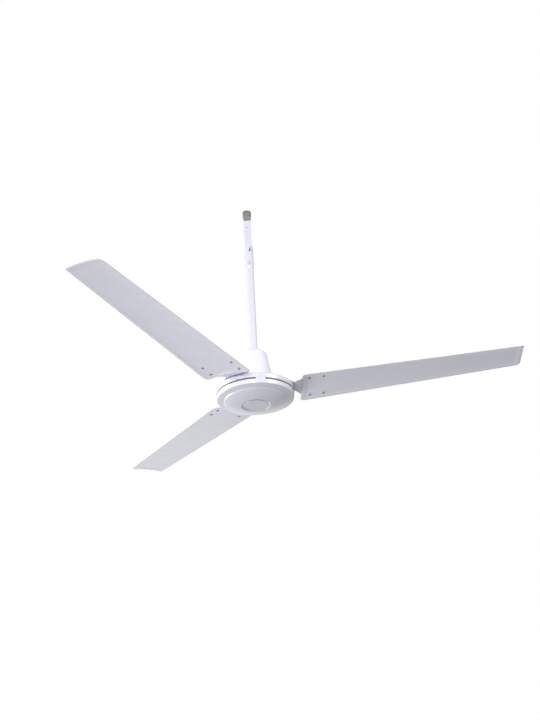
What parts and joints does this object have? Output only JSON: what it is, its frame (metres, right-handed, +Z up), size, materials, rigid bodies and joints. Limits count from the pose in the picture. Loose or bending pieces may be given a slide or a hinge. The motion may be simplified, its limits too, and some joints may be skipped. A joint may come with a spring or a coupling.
{
  "type": "ceiling fan",
  "caption": "Ceiling fan on a down rod: rubber-lined hook eye, sliding canopy, outer-rotor motor in a dished white housing and long pressed blades on twisted arms.",
  "frame": {"origin": "centre of the rubber-lined eye that the ceiling hook goes through", "axes": "+Z up along the down rod and the rotor's axis, +X along the eye's bore to the picture's right, -Y towards the picture's viewer"},
  "size_m": [1.1067, 1.2548, 0.5918],
  "materials": {
    "white_paint": "gloss",
    "blade_paint": "gloss",
    "white_plastic": "gloss",
    "black_rubber": "matt",
    "zinc_steel": "satin",
    "rivet_steel": "dull",
    "shaft_steel": "ground",
    "bearing_steel": "polished",
    "lamination": "varnished",
    "copper_coil": "varnished",
    "cast_alloy": "as cast",
    "white_nylon": "matt",
    "grey_plastic": "matt"
  },
  "bodies": {
    "hanger": {"capacitor": "white_nylon", "capacitor_band": "zinc_steel", "connection_bracket": "zinc_steel", "down_rod": "white_paint", "hanger_strap": "white_paint", "hook_rubber": "black_rubber", "lower_bearing_inner": "bearing_steel", "lower_circlip": "shaft_steel", "motor_shaft": "shaft_steel", "shaft_bolt": "zinc_steel", "shaft_nut": "zinc_steel", "shaft_split_pin": "zinc_steel", "stator_core": "lamination", "stator_windings": "copper_coil", "strap_bolt": "zinc_steel", "strap_nut": "zinc_steel", "strap_split_pin": "zinc_steel", "terminal_block": "white_nylon", "terminal_screws": "bearing_steel", "upper_bearing_inner": "bearing_steel", "upper_circlip": "shaft_steel"},
    "rotor": {"upper_shell": "white_paint", "lower_shell": "white_paint", "shell_screws": "zinc_steel", "centre_cap": "grey_plastic", "rotor_core": "lamination", "rotor_cage": "cast_alloy", "upper_bearing_outer": "bearing_steel", "lower_bearing_outer": "bearing_steel", "upper_bearing_shields": "bearing_steel", "lower_bearing_shields": "bearing_steel", "blade_1": "blade_paint", "blade_arm_1": "white_paint", "blade_rivets_1": "rivet_steel", "arm_screws_1": "zinc_steel", "blade_2": "blade_paint", "blade_arm_2": "white_paint", "blade_rivets_2": "rivet_steel", "arm_screws_2": "zinc_steel", "blade_3": "blade_paint", "blade_arm_3": "white_paint", "blade_rivets_3": "rivet_steel", "arm_screws_3": "zinc_steel"},
    "canopy": {"lower_canopy": "white_plastic", "canopy_grip": "black_rubber"}
  },
  "joints": [
    {"name": "rotor_spin", "type": "hinge", "parent": "hanger", "child": "rotor", "pos_m": [0, 0, -0.5475], "axis": [0, 0, 1], "continuous": true},
    {"name": "canopy_slide", "type": "slide", "parent": "hanger", "child": "canopy", "axis": [0, 0, 1], "range_m": [0, 0.25]}
  ]
}
